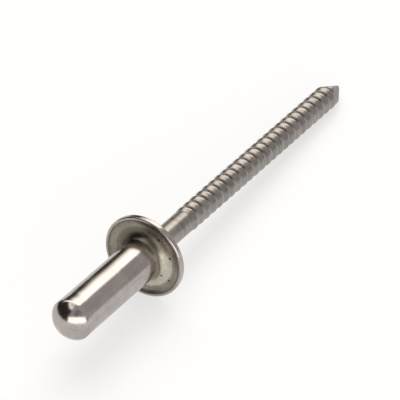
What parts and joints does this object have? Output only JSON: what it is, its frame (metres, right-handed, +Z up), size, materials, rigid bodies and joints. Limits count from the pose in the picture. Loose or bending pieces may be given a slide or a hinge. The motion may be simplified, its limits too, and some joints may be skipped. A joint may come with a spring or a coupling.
{
  "type": "closed-end blind rivet",
  "caption": "Closed-end dome-head blind rivet in polished stainless steel, unset, with its ring-grooved pulling stem; it lies on the rim of its head and the stem's end.",
  "frame": {"origin": "on the floor, under the middle of the rivet as it lies", "axes": "+Z up, +X along the rivet from the closed nose to the stem's point, seen from above; the axis of the rivet slopes down to the point by about 5 degrees"},
  "size_m": [0.0378, 0.0066, 0.0065],
  "materials": {
    "body_steel": "polished stainless steel with faint drawing marks and a few small pits under the head",
    "mandrel_steel": "bright rolled stainless wire with fine rings from rolling"
  },
  "bodies": {
    "root": {"rivet_body": "body_steel", "mandrel": "mandrel_steel"}
  },
  "joints": []
}
